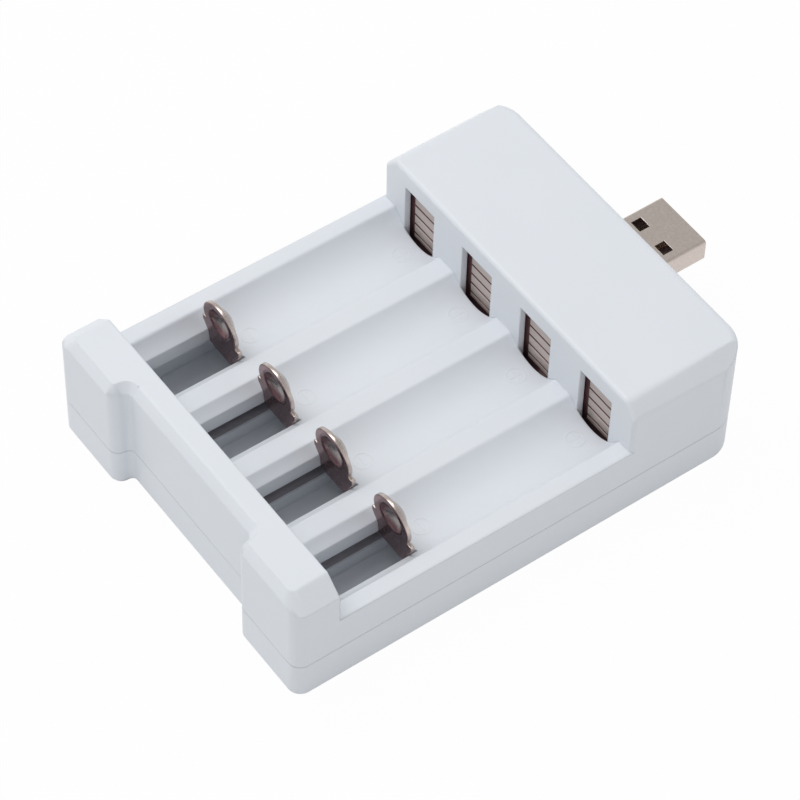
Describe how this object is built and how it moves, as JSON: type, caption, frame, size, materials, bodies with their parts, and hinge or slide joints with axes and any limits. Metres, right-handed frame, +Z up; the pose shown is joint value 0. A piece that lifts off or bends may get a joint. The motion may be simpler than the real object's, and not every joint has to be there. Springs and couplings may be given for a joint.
{
  "type": "usb battery charger for aa and aaa cells",
  "caption": "Flat white charger with cell bays between an end block and a tower, spring-loaded sliding contacts, and a USB-A plug at the tower's back.",
  "frame": {"origin": "on the table below the middle of the overall box, plug included", "axes": "+Y from the end block to the plug, +Z up, +X across the bays"},
  "size_m": [0.0662, 0.1002, 0.0248],
  "materials": {
    "case_abs": "fine satin mould texture",
    "plug_steel": "nickel-plated, rolled",
    "plug_insulator": "moulded",
    "plug_contacts": "gold-plated",
    "board_laminate": "solder-masked",
    "chip_moulding": "moulded",
    "chip_capacitors": "ceramic",
    "contact_nickel": "nickel-plated, stamped",
    "spring_steel": "drawn wire",
    "screw_steel": "zinc-plated"
  },
  "bodies": {
    "case": {"upper_shell": "case_abs", "lower_shell": "case_abs", "usb_shell": "plug_steel", "usb_insulator": "plug_insulator", "usb_contacts": "plug_contacts", "circuit_board": "board_laminate", "charge_chip": "chip_moulding", "board_parts": "chip_capacitors", "positive_contact_1": "contact_nickel", "positive_contact_2": "contact_nickel", "positive_contact_3": "contact_nickel", "positive_contact_4": "contact_nickel", "slider_spring_1": "spring_steel", "slider_spring_2": "spring_steel", "slider_spring_3": "spring_steel", "slider_spring_4": "spring_steel", "negative_bus": "contact_nickel", "case_screws": "screw_steel"},
    "slider_1": {"slider_contact_1": "contact_nickel"},
    "slider_2": {"slider_contact_2": "contact_nickel"},
    "slider_3": {"slider_contact_3": "contact_nickel"},
    "slider_4": {"slider_contact_4": "contact_nickel"}
  },
  "joints": [
    {"name": "contact_1_slide", "type": "slide", "parent": "case", "child": "slider_1", "axis": [0, -1, 0], "range_m": [0, 0.0151], "stiffness_N_per_m": 150, "springref_m": -0.007, "deforming": ["slider_spring_1"]},
    {"name": "contact_2_slide", "type": "slide", "parent": "case", "child": "slider_2", "axis": [0, -1, 0], "range_m": [0, 0.0151], "stiffness_N_per_m": 150, "springref_m": -0.007, "deforming": ["slider_spring_2"]},
    {"name": "contact_3_slide", "type": "slide", "parent": "case", "child": "slider_3", "axis": [0, -1, 0], "range_m": [0, 0.0151], "stiffness_N_per_m": 150, "springref_m": -0.007, "deforming": ["slider_spring_3"]},
    {"name": "contact_4_slide", "type": "slide", "parent": "case", "child": "slider_4", "axis": [0, -1, 0], "range_m": [0, 0.0151], "stiffness_N_per_m": 150, "springref_m": -0.007, "deforming": ["slider_spring_4"]}
  ]
}
